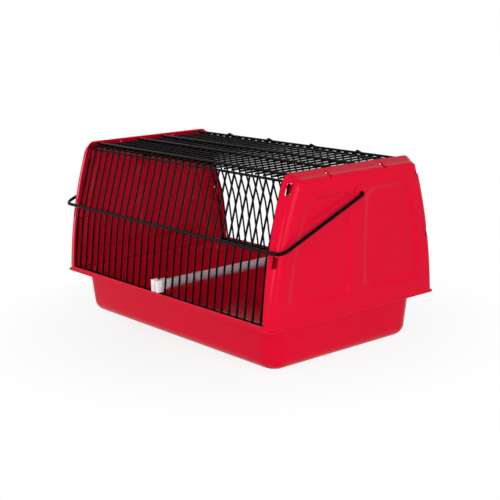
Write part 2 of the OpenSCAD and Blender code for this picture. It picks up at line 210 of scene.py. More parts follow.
flange_low = rim_z - tray_wall
bm = bmesh.new()
outer_rings = tray_wall_rings(0, flange_low)
inner_rings = tray_wall_rings(tray_wall, rim_z - edge_break)
centre_ring = [p.lerp(Vector((0, 0, p.z)), floor_centre) for p in outer_rings[0]]
inner_centre = [p.lerp(Vector((0, 0, p.z)), floor_centre) for p in inner_rings[0]]
flange_rings = []
for a in range(-90, 91, 30):
    out = edge_break * math.cos(math.radians(a)) - edge_break
    height = (flange_low + rim_z) / 2 + (tray_wall / 2) * math.sin(math.radians(a))
    flange_rings.append(rounded_rectangle(flange_x + out, flange_y + out,
                                          flange_corner_r + out, height))
mouth = tray_ring(tray_wall - edge_break, rim_z, tray_corner_r - tray_wall + edge_break)
rings = [centre_ring] + outer_rings + flange_rings + [mouth] + inner_rings[::-1] + [inner_centre]
vert_rings = bridge_rings(bm, rings)
bm.faces.new(vert_rings[0][::-1])
bm.faces.new(vert_rings[-1])

panel_rim_x = 140.2 * MM
lip_gap = 0.3 * MM
lip_end = panel_rim_x - lip_gap
lip_half_t = lip_t / 2
lip_top = rim_z + lip_h - lip_half_t
lip_root = rim_z - 1.5 * MM
for side in (-1, 1):
    lip_y = side * (flange_y - lip_half_t)
    lip_rings = []
    for x in (-lip_end, -lip_end + edge_break, lip_end - edge_break, lip_end):
        shrink = edge_break if abs(x) == lip_end else 0
        half_t = lip_half_t - shrink
        ring = []
        for a in range(0, 181, 20):
            ring.append(Vector((x, lip_y + half_t * math.cos(math.radians(a)),
                                lip_top + half_t * math.sin(math.radians(a)))))
        ring += [Vector((x, lip_y - half_t, lip_root + shrink)),
                 Vector((x, lip_y + half_t, lip_root + shrink))]
        lip_rings.append(ring)
    ends = bridge_rings(bm, lip_rings)
    bm.faces.new(ends[0])
    bm.faces.new(ends[-1][::-1])
make_piece("tray_shell", smooth_mesh(bm, "tray_shell"), red_plastic, "tray", "red_plastic", "tray")

# End panels
# Each end is a shallow dish moulded in the same red plastic: a flat leaning face with two sunk
# fields either side of a rib, a skirt round it, and cut-outs where the mould cores the snap hooks.

panel_top = rim_z + 121.6 * MM
panel_depth = 9.3 * MM
panel_wall = 1.6 * MM
panel_lean = math.radians(1.86)
side_r = 400 * MM
foot_lean = math.radians(2.5)
face_lean = math.radians(1.5)
rim_half_y = flange_y - 0.5 * MM
face_inset = 1.2 * MM
face_drop = 4 * MM
corner_r = 9 * MM
edge_round = 3 * MM
shoulder_r = 5 * MM
face_x = panel_rim_x + panel_depth
pocket_depth = 2 * MM
pocket_margin = 14.5 * MM
pocket_slope = 4.6 * MM
pocket_round = 12 * MM
rib_half = 6.5 * MM
face_rings = 80
foot_spread = 0.55
# The front cut-outs end before the shoulder. The rear ones notch it.
mid_hook_z = rim_z + 54.2 * MM
top_hook_z = panel_top - 11.6 * MM
window_in = 2.8 * MM
window_lap = 5.2 * MM
front_window_end = 8.2 * MM
front_window_h = 9.4 * MM
rear_window_h = 7.4 * MM
notch_y = 31.3 * MM
notch_w = 4 * MM
notch_h = 6 * MM
hook_t = 1.6 * MM
hook_h = 7.6 * MM
web_x = 144 * MM
web_h = 11 * MM
boss_r = 7 * MM
boss_h = 1.6 * MM
boss_lap = 2 * MM
boss_round = 0.8 * MM
bail_r = 1.5 * MM
bail_play = 0.1 * MM
hole_break = 0.4 * MM
wire_r = 0.9 * MM
rail_r = 1.1 * MM
seat = 0.3 * MM
pivot_z = panel_top - 22.4 * MM
pivot_face_x = face_x + (pivot_z - rim_z) * math.tan(panel_lean)


def edge_arc(foot, lean):
    """Centre y, centre z and radius of a panel edge that leans in from its foot."""
    return foot - side_r * math.cos(lean), rim_z - side_r * math.sin(lean), side_r


rim_arc = edge_arc(rim_half_y, foot_lean)
face_arc = edge_arc(rim_half_y - face_inset, foot_lean + face_lean)


def arch_line(arc, inset, radius, top, side_steps=44, corner_steps=12, top_steps=40):
    """Points of a panel outline, from the right foot over the top to the left foot, as y and z."""
    cy, cz, reach = arc[0], arc[1], arc[2] - inset
    corner_y = cy + math.sqrt((reach - radius) ** 2 - (top - radius - cz) ** 2)
    corner_z = top - radius
    low = math.asin((rim_z - cz) / reach)
    high = math.atan2(corner_z - cz, corner_y - cy)
    half = []
    for i in range(side_steps):
        a = low + (high - low) * i / side_steps
        half.append((cy + reach * math.cos(a), cz + reach * math.sin(a)))
    for i in range(corner_steps + 1):
        a = high + (math.pi / 2 - high) * i / corner_steps
        half.append((corner_y + radius * math.cos(a), corner_z + radius * math.sin(a)))
    top_line = [(corner_y * (1 - 2 * i / top_steps), top) for i in range(1, top_steps)]
    return half + top_line + [(-y, z) for y, z in reversed(half)]


def soft_ramp(t, width=0.09):
    """A ramp from 0 to 1 with straight middle and rounded ends."""
    t = min(max(t, 0.0), 1.0)
    scale = 2 * width * (1 - width)
    if t < width:
        return t * t / scale
    if t > 1 - width:
        return 1 - (1 - t) ** 2 / scale
    return (t - width / 2) / (1 - width)


def pocket_sink(y, z):
    """Depth of the sunk fields under the face, at a point of the face."""
    inset = face_arc[2] - math.hypot(abs(y) - face_arc[0], z - face_arc[1])
    from_edges = (inset - pocket_margin, abs(y) - rib_half, z - rim_z - pocket_margin,
                  panel_top - face_drop - pocket_margin - z)
    short = math.sqrt(sum(max(0.0, pocket_round - d) ** 2 for d in from_edges))
    return pocket_depth * soft_ramp((pocket_round - short) / pocket_slope)


def on_face(y, z, depth):
    """A point of the leaning outer face, at a depth under it."""
    up = z - rim_z
    x = face_x - depth * math.cos(panel_lean) + up * math.sin(panel_lean)
    return Vector((x, y, rim_z + depth * math.sin(panel_lean) + up * math.cos(panel_lean)))


def panel_surface(bm):
    """The outer surface of the right-hand panel: rim, skirt, rounded edge, face and fields."""
    rim = [Vector((panel_rim_x, y, z)) for y, z in arch_line(rim_arc, 0, corner_r, panel_top)]
    rings = [rim]
    shoulder = [on_face(y, z, shoulder_r)
                for y, z in arch_line(face_arc, 0, corner_r, panel_top - face_drop)]
    for t in (0.25, 0.5, 0.75):
        rings.append([a.lerp(b, t) for a, b in zip(rim, shoulder)])
    for a in range(0, 91, 10):
        inset = shoulder_r * (1 - math.cos(math.radians(a)))
        depth = shoulder_r * (1 - math.sin(math.radians(a)))
        line = arch_line(face_arc, inset, corner_r, panel_top - face_drop - inset)
        rings.append([on_face(y, z, depth) for y, z in line])
    last = arch_line(face_arc, shoulder_r, corner_r, panel_top - face_drop - shoulder_r)
    for i in range(1, face_rings + 1):
        t = i / face_rings
        ring = []
        for y, z in last:
            near = (y * (1 - t), rim_z + (z - rim_z) * (1 - foot_spread * t))
            ring.append(on_face(*near, pocket_sink(*near)))
        rings.append(ring)
    for ring in rings:
        ring[0].z = rim_z
        ring[-1].z = rim_z
    bridge_rings(bm, rings, closed=False)


def add_box(bm, low, high):
    """A block between two corners, for a cut-out or a small tab."""
    corners = [Vector((x, y, z)) for x in (low[0], high[0]) for y in (low[1], high[1])
               for z in (low[2], high[2])]
    verts = [bm.verts.new(c) for c in corners]
    for face in ((0, 1, 3, 2), (4, 6, 7, 5), (0, 4, 5, 1),
                 (2, 3, 7, 6), (0, 2, 6, 4), (1, 5, 7, 3)):
        bm.faces.new([verts[i] for i in face])


def add_lathe(bm, profile, place, steps=48):
    """Spins closed profile points (radius, distance) about the axis of a placing matrix."""
    rings = []
    for i in range(steps):
        a = 2 * math.pi * i / steps
        rings.append([place @ Vector((r * math.cos(a), r * math.sin(a), d)) for r, d in profile])
    vert_rings = [[bm.verts.new(p) for p in ring] for ring in rings]
    count = len(profile)
    for i in range(steps):
        one, two = vert_rings[i], vert_rings[(i + 1) % steps]
        for k in range(count):
            j = (k + 1) % count
            bm.faces.new((one[k], two[k], two[j], one[j]))


front_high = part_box("front_uprights")[1]
end_wire_x = front_high.x - wire_r
bend_z = rim_z + 51.5 * MM
bend_inset = 0.8 * MM
top_inset = 1.8 * MM
skirt_slope = face_inset / (panel_depth - edge_round)
skirt_in = panel_wall + seat + wire_r + skirt_slope * (end_wire_x - panel_rim_x + wire_r)


def edge_y(z):
    """Outer y of the panel's rim at a height."""
    return rim_arc[0] + math.sqrt(rim_arc[2] ** 2 - (z - rim_arc[1]) ** 2)


def face_edge_y(z):
    """Outer y of the panel's face at a height."""
    return face_arc[0] + math.sqrt(face_arc[2] ** 2 - (z - face_arc[1]) ** 2)


weld = 0.2 * MM
roof_rail_z = panel_top - 1.2 * MM - rail_r
roof_wire_z = roof_rail_z - rail_r - wire_r + weld
upright_top_z = roof_wire_z - wire_r - 1.5 * seat
foot_y = rim_half_y - skirt_in
bend_y = edge_y(bend_z) - skirt_in - bend_inset
top_y = edge_y(upright_top_z) - panel_wall - 2 * rail_r - wire_r - top_inset
lower_tilt = math.atan2(foot_y - bend_y, bend_z - rim_z)
upper_tilt = math.atan2(bend_y - top_y, upright_top_z - bend_z)


def wire_y(z):
    """Y of an upright's centre line at a height."""
    tilt = lower_tilt if z < bend_z else upper_tilt
    return bend_y + (bend_z - z) * math.tan(tilt)


def add_prism(bm, outline, low, high, place):
    """A straight prism over an outline in the XY plane, moved by a placing matrix."""
    bottom = [bm.verts.new(place @ Vector((x, y, low))) for x, y in outline]
    top = [bm.verts.new(place @ Vector((x, y, high))) for x, y in outline]
    count = len(outline)
    for i in range(count):
        j = (i + 1) % count
        bm.faces.new((bottom[i], bottom[j], top[j], top[i]))
    bm.faces.new(bottom[::-1])
    bm.faces.new(top)


def add_hook(bm, z, side, tilt):
    """A snap hook behind a cut-out, gripping the end wire of a side grille, and its web."""
    face = face_x + (z - rim_z) * math.tan(panel_lean)
    inner = -wire_r - seat - hook_t
    tip = end_wire_x - wire_r - seat - hook_t
    root = face - panel_wall - 2 * hook_t
    back = face - panel_wall / 2
    outline = [(tip, inner), (root, inner), (root, inner - 3 * hook_t), (back, inner - 3 * hook_t),
               (back, inner + hook_t), (tip + hook_t, inner + hook_t),
               (tip + hook_t, inner + hook_t + wire_r), (tip, inner + hook_t)]
    place = (Matrix.Scale(side, 4, (0, 1, 0)) @ Matrix.Translation((0, wire_y(z), z))
             @ Matrix.Rotation(tilt, 4, "X"))
    add_prism(bm, outline, -hook_h / 2, hook_h / 2, place)
    web = [(web_x, inner), (back, inner), (back, inner + hook_t), (web_x, inner + hook_t)]
    add_prism(bm, web, -web_h / 2, web_h / 2, place)


def apply_modifier(obj, kind, **settings):
    """Adds one modifier to a working object and makes its result the object's mesh."""
    modifier = obj.modifiers.new(kind.lower(), kind)
    for name, value in settings.items():
        setattr(modifier, name, value)
    view = bpy.context.evaluated_depsgraph_get()
    mesh = bpy.data.meshes.new_from_object(obj.evaluated_get(view))
    obj.modifiers.clear()
    obj.data = mesh


def loose_object(bm, name):
    """A working object, which later lends its mesh to a piece and is then deleted."""
    bmesh.ops.remove_doubles(bm, verts=bm.verts, dist=0.001 * MM)
    bmesh.ops.recalc_face_normals(bm, faces=bm.faces)
    mesh = bpy.data.meshes.new(name)
    bm.to_mesh(mesh)
    bm.free()
    obj = bpy.data.objects.new(name, mesh)
    bpy.context.scene.collection.objects.link(obj)
    return obj


bm = bmesh.new()
panel_surface(bm)
bmesh.ops.remove_doubles(bm, verts=bm.verts, dist=0.005 * MM)
for face in bm.faces:
    if face.normal.x < 0:
        face.normal_flip()
shell = loose_object(bm, "panel_work")
apply_modifier(shell, "SOLIDIFY", thickness=panel_wall, offset=-1.0, use_even_offset=True)
for vertex in shell.data.vertices:
    vertex.co.x = max(vertex.co.x, panel_rim_x)
    vertex.co.z = max(vertex.co.z, rim_z)

bm = bmesh.new()
reach = 60 * MM
for side in (-1, 1):
    for hook_z in (mid_hook_z, top_hook_z):
        inner = face_edge_y(hook_z) - window_lap
        ys = sorted((side * inner, side * (inner + reach)))
        end = reach if side > 0 else front_window_end
        half_h = (rear_window_h if side > 0 else front_window_h) / 2
        add_box(bm, (panel_rim_x + window_in, ys[0], hook_z - half_h),
                (panel_rim_x + end, ys[1], hook_z + half_h))
    add_box(bm, (panel_rim_x + window_in, side * notch_y - notch_w / 2, panel_top - notch_h),
            (panel_rim_x + reach, side * notch_y + notch_w / 2, panel_top + notch_h))
along_x = Matrix.Translation((panel_rim_x, 0, pivot_z)) @ Matrix.Rotation(math.pi / 2, 4, "Y")
bore_r = boss_r - boss_lap
bore = [(0, 0), (bore_r, 0), (bore_r, reach), (0, reach)]
add_lathe(bm, bore, along_x)
cutter = loose_object(bm, "panel_cutter")
apply_modifier(shell, "BOOLEAN", object=cutter, operation="DIFFERENCE", solver="EXACT")

bm = bmesh.new()
bm.from_mesh(shell.data)
tab_x = (panel_rim_x + window_in - hook_t / 2, face_x + 3 * MM)
tab_z = panel_top - notch_h
for side in (-1, 1):
    add_hook(bm, mid_hook_z, side, (lower_tilt + upper_tilt) / 2)
    add_hook(bm, top_hook_z, side, upper_tilt)
    add_box(bm, (tab_x[0], side * notch_y - notch_w / 4, tab_z - hook_t),
            (tab_x[1], side * notch_y + notch_w / 4, tab_z + 1.5 * hook_t))
boss_front = pivot_face_x + boss_h - panel_rim_x
boss_back = pivot_face_x - panel_wall - boss_h - panel_rim_x
hole_r = bail_r + bail_play
boss = [(hole_r, boss_back), (boss_r - boss_round, boss_back), (boss_r, boss_back + boss_round)]
for a in range(0, 91, 15):
    boss.append((boss_r - boss_round + boss_round * math.cos(math.radians(a)),
                 boss_front - boss_round + boss_round * math.sin(math.radians(a))))
boss += [(hole_r + hole_break, boss_front), (hole_r, boss_front - hole_break)]
add_lathe(bm, boss, along_x)
right_mesh = smooth_mesh(bm, "right_end_panel", 35)
left_mesh = right_mesh.copy()
left_mesh.name = "left_end_panel"
left_mesh.transform(Matrix.Scale(-1, 4, (1, 0, 0)))
left_mesh.flip_normals()
for obj in (shell, cutter):
    bpy.data.objects.remove(obj)
make_piece("right_end_panel", right_mesh, red_plastic, "cage", "red_plastic", "right_panel")
make_piece("left_end_panel", left_mesh, red_plastic, "cage", "red_plastic", "left_panel")

# Side grilles
# Each side grille is one welded mesh: steel wires bent in at half height, spot-welded to a rail
# at the foot and at the top, and dipped in black powder paint. The end wires snap into the panels.

open_wires = 28
wire_pitch = 9.9 * MM
bend_r = 60 * MM
bend_steps = 8


# Powder-coated steel wire: satin black, slightly lumpy where the powder flowed, with dull spots.
def powder_coat(name, dark, light):
    material, tree = new_material(name)
    place = add_node(tree, "ShaderNodeTexCoord")
    lumps = add_node(tree, "ShaderNodeTexNoise", values={"Scale": 900.0, "Detail": 2.0},
                     links={"Vector": (place, "Object")})
    patch = add_node(tree, "ShaderNodeTexNoise", values={"Scale": 120.0, "Detail": 4.0},
                     links={"Vector": (place, "Object")})
    tint = add_node(tree, "ShaderNodeMix", {"data_type": "RGBA"},
                    {"A": linear_rgb(dark), "B": linear_rgb(light)}, {"Factor": (patch, "Fac")})
    gloss = add_node(tree, "ShaderNodeMapRange",
                     values={"From Min": 0.3, "From Max": 0.7, "To Min": 0.2, "To Max": 0.32},
                     links={"Value": (patch, "Fac")})
    bump = add_node(tree, "ShaderNodeBump", values={"Strength": 0.25, "Distance": 0.08 * MM},
                    links={"Height": (lumps, "Fac")})
    shader = add_node(tree, "ShaderNodeBsdfPrincipled",
                      values={"IOR": 1.52, "Specular IOR Level": 0.04},
                      links={"Base Color": (tint, "Result"), "Roughness": (gloss, "Result"),
                             "Normal": (bump, "Normal")})
    add_node(tree, "ShaderNodeOutputMaterial", links={"Surface": (shader, "BSDF")})
    return material


black_wire = powder_coat("black powder-coated steel wire", "#010102", "#040405")


def upright_path():
    """Points of one upright at x = 0: straight foot, gentle bend, straight top."""
    tangent = bend_r * math.tan((upper_tilt - lower_tilt) / 2)
    start = Vector((0, bend_y + tangent * math.sin(lower_tilt),
                    bend_z - tangent * math.cos(lower_tilt)))
    foot_z = rim_z + seat + wire_r * math.sin(lower_tilt)
    top_z = upright_top_z - wire_r * math.sin(upper_tilt)
    centre = start - bend_r * Vector((0, math.cos(lower_tilt), math.sin(lower_tilt)))
    path = [Vector((0, wire_y(foot_z), foot_z))]
    for i in range(bend_steps + 1):
        a = lower_tilt + (upper_tilt - lower_tilt) * i / bend_steps
        path.append(centre + bend_r * Vector((0, math.cos(a), math.sin(a))))
    path.append(Vector((0, wire_y(top_z), top_z)))
    return path


def path_object(name, paths):
    """A working object that holds open paths as bare edges."""
    bm = bmesh.new()
    for path in paths:
        verts = [bm.verts.new(p) for p in path]
        for one, two in zip(verts, verts[1:]):
            bm.edges.new((one, two))
    mesh = bpy.data.meshes.new(name)
    bm.to_mesh(mesh)
    bm.free()
    obj = bpy.data.objects.new(name, mesh)
    bpy.context.scene.collection.objects.link(obj)
    return obj


def new_tree(name, sockets):
    """A geometry tree with named inputs; returns it with its input node and socket identifiers."""
    tree = bpy.data.node_groups.new(name, "GeometryNodeTree")
    tree.interface.new_socket("Geometry", in_out="OUTPUT", socket_type="NodeSocketGeometry")
    tree.interface.new_socket("Geometry", in_out="INPUT", socket_type="NodeSocketGeometry")
    ids = {}
    for socket, kind in sockets:
        ids[socket] = tree.interface.new_socket(socket, in_out="INPUT", socket_type=kind).identifier
    return tree, add_node(tree, "NodeGroupInput"), ids


def wire_row_tree():
    """Sweeps a round wire along the paths given, and repeats it in a row along X."""
    sockets = (("Count", "NodeSocketInt"), ("Pitch", "NodeSocketFloat"),
               ("Wire radius", "NodeSocketFloat"), ("Paint", "NodeSocketMaterial"))
    tree, given, ids = new_tree("wire_row", sockets)
    path = add_node(tree, "GeometryNodeMeshToCurve", links={"Mesh": (given, "Geometry")})
    section = add_node(tree, "GeometryNodeCurvePrimitiveCircle", values={"Resolution": 12},
                       links={"Radius": (given, "Wire radius")})
    wire = add_node(tree, "GeometryNodeCurveToMesh", values={"Fill Caps": True},
                    links={"Curve": (path, "Curve"), "Profile Curve": (section, "Curve")})
    less = add_node(tree, "ShaderNodeMath", {"operation": "SUBTRACT"}, {1: 1.0},
                    {0: (given, "Count")})
    span = add_node(tree, "ShaderNodeMath", {"operation": "MULTIPLY"},
                    links={0: (less, "Value"), 1: (given, "Pitch")})
    half = add_node(tree, "ShaderNodeMath", {"operation": "MULTIPLY"}, {1: -0.5},
                    {0: (span, "Value")})
    start = add_node(tree, "ShaderNodeCombineXYZ", links={"X": (half, "Value")})
    step = add_node(tree, "ShaderNodeCombineXYZ", links={"X": (given, "Pitch")})
    row = add_node(tree, "GeometryNodeMeshLine", {"mode": "OFFSET"},
                   links={"Count": (given, "Count"), "Start Location": (start, "Vector"),
                          "Offset": (step, "Vector")})
    copies = add_node(tree, "GeometryNodeInstanceOnPoints",
                      links={"Points": (row, "Mesh"), "Instance": (wire, "Mesh")})
    real = add_node(tree, "GeometryNodeRealizeInstances", links={"Geometry": (copies, "Instances")})
    smooth = add_node(tree, "GeometryNodeSetShadeSmooth", links={"Geometry": (real, "Geometry")})
    paint = add_node(tree, "GeometryNodeSetMaterial",
                     links={"Geometry": (smooth, "Geometry"), "Material": (given, "Paint")})
    add_node(tree, "NodeGroupOutput", links={"Geometry": (paint, "Geometry")})
    return tree, ids


row_tree, row_ids = wire_row_tree()


def grow(obj, tree, ids, **inputs):
    """Runs a geometry tree on a working object and returns the plain mesh that it makes."""
    modifier = obj.modifiers.new("nodes", "NODES")
    modifier.node_group = tree
    for name, value in inputs.items():
        modifier[ids[name.replace("_", " ")]] = value
    view = bpy.context.evaluated_depsgraph_get()
    mesh = bpy.data.meshes.new_from_object(obj.evaluated_get(view))
    bpy.data.objects.remove(obj)
    return mesh


def wire_row(name, paths, count, pitch, radius):
    """The mesh of a row of painted wires, centred on x = 0."""
    return grow(path_object(name, paths), row_tree, row_ids, Count=count, Pitch=pitch,
                Wire_radius=radius, Paint=black_wire)


def joined(name, meshes):
    """One mesh from several, with outward normals and closed seams."""
    bm = bmesh.new()
    for mesh in meshes:
        bm.from_mesh(mesh)
    return smooth_mesh(bm, name, 50)


def mirrored_y(mesh):
    """The mesh of the other side, with its faces still outwards."""
    copy = mesh.copy()
    copy.transform(Matrix.Scale(-1, 4, (0, 1, 0)))
    copy.flip_normals()
    return copy


rear_row = wire_row("rear_row", [upright_path()], open_wires, wire_pitch, wire_r)
rear_ends = wire_row("rear_ends", [upright_path()], 2, 2 * end_wire_x, wire_r)
rear_grille = joined("rear_upright_wires", [rear_row, rear_ends])
front_grille = joined("front_upright_wires", [mirrored_y(rear_row), mirrored_y(rear_ends)])
make_piece("front_upright_wires", front_grille, black_wire, "cage", "black_wire", "front_uprights")
make_piece("rear_upright_wires", rear_grille, black_wire, "cage", "black_wire", "rear_uprights")

# Rails
# Straight black wires of a heavier gauge, cropped to length. The paint has rounded their ends,
# and each crossing has a small weld that squeezed out and was painted over.

end_rounding = 0.45
weld_r = 1 * MM
side_weld = (1.1, 0.8, 0.7)
rails = (("front_top_rail_wire", "front_top_rail", -1), ("rear_top_rail_wire", "rear_top_rail", 1),
         ("front_foot_rail_wire", "front_bottom_rail", -1),
         ("rear_foot_rail_wire", "rear_bottom_rail", 1))


def rail_mesh(name, half, y, z, radius=rail_r):
    """A straight round rail along X with ends rounded over by the paint."""
    round_r = end_rounding * radius
    profile = [(0, -half)]
    for a in range(0, 91, 30):
        profile.append((radius - round_r + round_r * math.sin(math.radians(a)),
                        -half + round_r * (1 - math.cos(math.radians(a)))))
    profile += [(r, -d) for r, d in reversed(profile[1:])] + [(0, half)]
    bm = bmesh.new()
    place = Matrix.Translation((0, y, z)) @ Matrix.Rotation(math.pi / 2, 4, "Y")
    add_lathe(bm, profile, place, 20)
    return smooth_mesh(bm, name, 50)


def weld_tree():
    """Puts a small flattened weld at every point given."""
    sockets = (("Weld radius", "NodeSocketFloat"), ("Stretch", "NodeSocketVector"),
               ("Paint", "NodeSocketMaterial"))
    tree, given, ids = new_tree("welds", sockets)
    bead = add_node(tree, "GeometryNodeMeshIcoSphere", values={"Subdivisions": 2},
                    links={"Radius": (given, "Weld radius")})
    copies = add_node(tree, "GeometryNodeInstanceOnPoints",
                      links={"Points": (given, "Geometry"), "Instance": (bead, "Mesh"),
                             "Scale": (given, "Stretch")})
    real = add_node(tree, "GeometryNodeRealizeInstances", links={"Geometry": (copies, "Instances")})
    smooth = add_node(tree, "GeometryNodeSetShadeSmooth", links={"Geometry": (real, "Geometry")})
    paint = add_node(tree, "GeometryNodeSetMaterial",
                     links={"Geometry": (smooth, "Geometry"), "Material": (given, "Paint")})
    add_node(tree, "NodeGroupOutput", links={"Geometry": (paint, "Geometry")})
    return tree, ids


bead_tree, bead_ids = weld_tree()
row_x = [(k - (open_wires - 1) / 2) * wire_pitch for k in range(open_wires)]
grille_x = row_x + [-end_wire_x, end_wire_x]


def welds(name, points, stretch):
    """The mesh of one painted weld at each point."""
    mesh = bpy.data.meshes.new(name)
    mesh.from_pydata(points, [], [])
    obj = bpy.data.objects.new(name, mesh)
    bpy.context.scene.collection.objects.link(obj)
    return grow(obj, bead_tree, bead_ids, Weld_radius=weld_r, Stretch=stretch, Paint=black_wire)


for name, node, side in rails:
    low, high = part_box(node)
    y, z = (low.y + high.y) / 2, (low.z + high.z) / 2
    touch_y = side * wire_y(z)
    points = [(x, (y + touch_y) / 2, z) for x in grille_x]
    rail = rail_mesh(name, high.x, y, z)
    beads = welds(name + "_welds", points, side_weld)
    make_piece(name, joined(name, [rail, beads]), black_wire, "cage", "black_wire", node)

# Roof grille
# The roof is a separate flat mesh: short wires from front to rear under four rails. It drops
# between the end panels, lies on the front top rail and swings up on the rear one.

roof_weld = (1.0, 1.0, 0.6)
roof_low, roof_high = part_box("roof_wires")
roof_path = [[Vector((0, roof_low.y, roof_wire_z)), Vector((0, roof_high.y, roof_wire_z))]]
roof_row = wire_row("roof_row", roof_path, open_wires, wire_pitch, wire_r)
roof_mesh = joined("roof_cross_wires", [roof_row])
make_piece("roof_cross_wires", roof_mesh, black_wire, "roof", "black_wire", "roof_wires")
for node in ("roof_front_rail", "roof_front_mid_rail", "roof_rear_mid_rail", "roof_rear_rail"):
    low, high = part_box(node)
    y, z = (low.y + high.y) / 2, (low.z + high.z) / 2
    points = [(x, y, z - rail_r) for x in row_x]
    rail = rail_mesh(node + "_wire", high.x, y, z)
    beads = welds(node + "_welds", points, roof_weld)
    mesh = joined(node + "_wire", [rail, beads])
    make_piece(node + "_wire", mesh, black_wire, "roof", "black_wire", node)

# Hinge clips
# Hog rings of thinner wire, squeezed shut round the rear top rail and the rear rail of the roof.

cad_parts["roof_hinge_clips"].data.materials[0] = black_wire

# Bail handle
# One length of 3 mm spring wire, bent to a flat U, whose ends spring outwards into the bosses of
# the end panels. It is painted like the grilles and rests against the front rims.

bail_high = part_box("bail_handle")[1]
elbow_r = 2.5 * MM
grip_r = 8 * MM
stub_in = 6 * MM
stub_l = 4 * MM
arm_steps = 12
grip_steps = 30
arm_x = bail_high.x - bail_r
stub_x = pivot_face_x - panel_wall - boss_h - stub_in
grip_z = rim_z + 62.2 * MM
rest_y = rim_arc[0] + math.sqrt((side_r + bail_r + seat) ** 2 - (grip_z - rim_arc[1]) ** 2)
arm_l = math.hypot(rest_y, pivot_z - grip_z)
rest_dip = math.atan2(pivot_z - grip_z, rest_y)


def bail_path():
    """The bail's centre line, from the left stub to the right one, in its own flat plane."""
    half = [Vector((stub_x, 0, 0)), Vector((stub_x + stub_l, 0, 0))]
    for a in range(90, -1, -10):
        turn = math.radians(a)
        half.append(Vector((arm_x - elbow_r + elbow_r * math.cos(turn),
                            -elbow_r + elbow_r * math.sin(turn), 0)))
    for i in range(1, arm_steps):
        half.append(Vector((arm_x, -elbow_r - (arm_l - elbow_r - grip_r) * i / arm_steps, 0)))
    for a in range(0, -91, -10):
        turn = math.radians(a)
        half.append(Vector((arm_x - grip_r + grip_r * math.cos(turn),
                            grip_r - arm_l + grip_r * math.sin(turn), 0)))
    other = [Vector((-p.x, p.y, p.z)) for p in reversed(half)]
    place = Matrix.Translation((0, 0, pivot_z)) @ Matrix.Rotation(rest_dip, 4, "X")
    grip = [Vector(((arm_x - grip_r) * (1 - 2 * i / grip_steps), -arm_l, 0))
            for i in range(1, grip_steps)]
    return [place @ p for p in half + grip + other]


bail_row = wire_row("bail_row", [bail_path()], 1, 0.0, bail_r)
bail_mesh = joined("bail_wire", [bail_row])
make_piece("bail_wire", bail_mesh, black_wire, "bail", "black_wire", "bail_handle")

# Perch
# A milky white plastic rod with a moulded cap pushed on each end. The slot of each cap slides
# over one upright, so the perch can be pulled off for cleaning.


# Low-density polyethylene: milky white, waxy, with light that sinks in a little.
def waxy_polyethylene(name, pale, shade):
    material, tree = new_material(name)
    place = add_node(tree, "ShaderNodeTexCoord")
    cloud = add_node(tree, "ShaderNodeTexNoise", values={"Scale": 90.0, "Detail": 3.0},
                     links={"Vector": (place, "Object")})
    tint = add_node(tree, "ShaderNodeMix", {"data_type": "RGBA"},
                    {"A": linear_rgb(pale), "B": linear_rgb(shade)}, {"Factor": (cloud, "Fac")})
    gloss = add_node(tree, "ShaderNodeMapRange", values={"To Min": 0.36, "To Max": 0.5},
                     links={"Value": (cloud, "Fac")})
    grain = add_node(tree, "ShaderNodeTexNoise", values={"Scale": 700.0, "Detail": 2.0},
                     links={"Vector": (place, "Object")})
    bump = add_node(tree, "ShaderNodeBump", values={"Strength": 0.15, "Distance": 0.1 * MM},
                    links={"Height": (grain, "Fac")})
    shader = add_node(tree, "ShaderNodeBsdfPrincipled",
                      values={"IOR": 1.51, "Subsurface Weight": 0.2,
                              "Subsurface Radius": (1.0, 0.9, 0.8), "Subsurface Scale": 2 * MM},
                      links={"Base Color": (tint, "Result"), "Roughness": (gloss, "Result"),
                             "Normal": (bump, "Normal")})
    add_node(tree, "ShaderNodeOutputMaterial", links={"Surface": (shader, "BSDF")})
    return material


white_plastic = waxy_polyethylene("milky white polyethylene", "#EFEDEB", "#E4E1DF")
# The rod's colours are greyer and redder than the caps': painted shade and painted red reflection,
# standing for the shade inside the cage and the red tray and panels round it.
rod_plastic_painted_shade = waxy_polyethylene("clear-milky polyethylene rod", "#CDC2CC", "#C0B2BE")

rod_low, rod_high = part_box("perch_rod")
perch_x = (rod_low.x + rod_high.x) / 2
perch_z = (rod_low.z + rod_high.z) / 2
perch_r = (rod_high.x - rod_low.x) / 2
rod_half = rod_high.y
end_r = 0.6 * MM
profile = [(0, -rod_half), (perch_r - end_r, -rod_half), (perch_r, -rod_half + end_r),
           (perch_r, rod_half - end_r), (perch_r - end_r, rod_half), (0, rod_half)]
bm = bmesh.new()
along_y = Matrix.Translation((perch_x, 0, perch_z)) @ Matrix.Rotation(-math.pi / 2, 4, "X")
add_lathe(bm, profile, along_y, 40)
bar_mesh = smooth_mesh(bm, "perch_bar")
make_piece("perch_bar", bar_mesh, rod_plastic_painted_shade, "cage", "white_plastic", "perch_rod")


def cap_mesh(name, node):
    """A perch cap: the CAD solid's own form, merged, with its edges broken."""
    bm = bmesh.new()
    bm.from_mesh(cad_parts[node].data)
    bmesh.ops.remove_doubles(bm, verts=bm.verts, dist=0.002 * MM)
    bmesh.ops.dissolve_limit(bm, angle_limit=math.radians(1), verts=bm.verts, edges=bm.edges)
    obj = loose_object(bm, name + "_work")
    apply_modifier(obj, "BEVEL", width=0.5 * MM, segments=3, limit_method="ANGLE",
                   angle_limit=math.radians(50), use_clamp_overlap=True)
    bm = bmesh.new()
    bm.from_mesh(obj.data)
    bpy.data.objects.remove(obj)
    return smooth_mesh(bm, name, 35)


for name, node in (("perch_front_cap", "perch_front_clip"), ("perch_rear_cap", "perch_rear_clip")):
    make_piece(name, cap_mesh(name, node), white_plastic, "cage", "white_plastic", node)

# Studio
# A pale seamless floor and backdrop, soft lamps at the right, ahead on the left, overhead and
# behind, and a narrow one near the camera for the highlights along the edges.


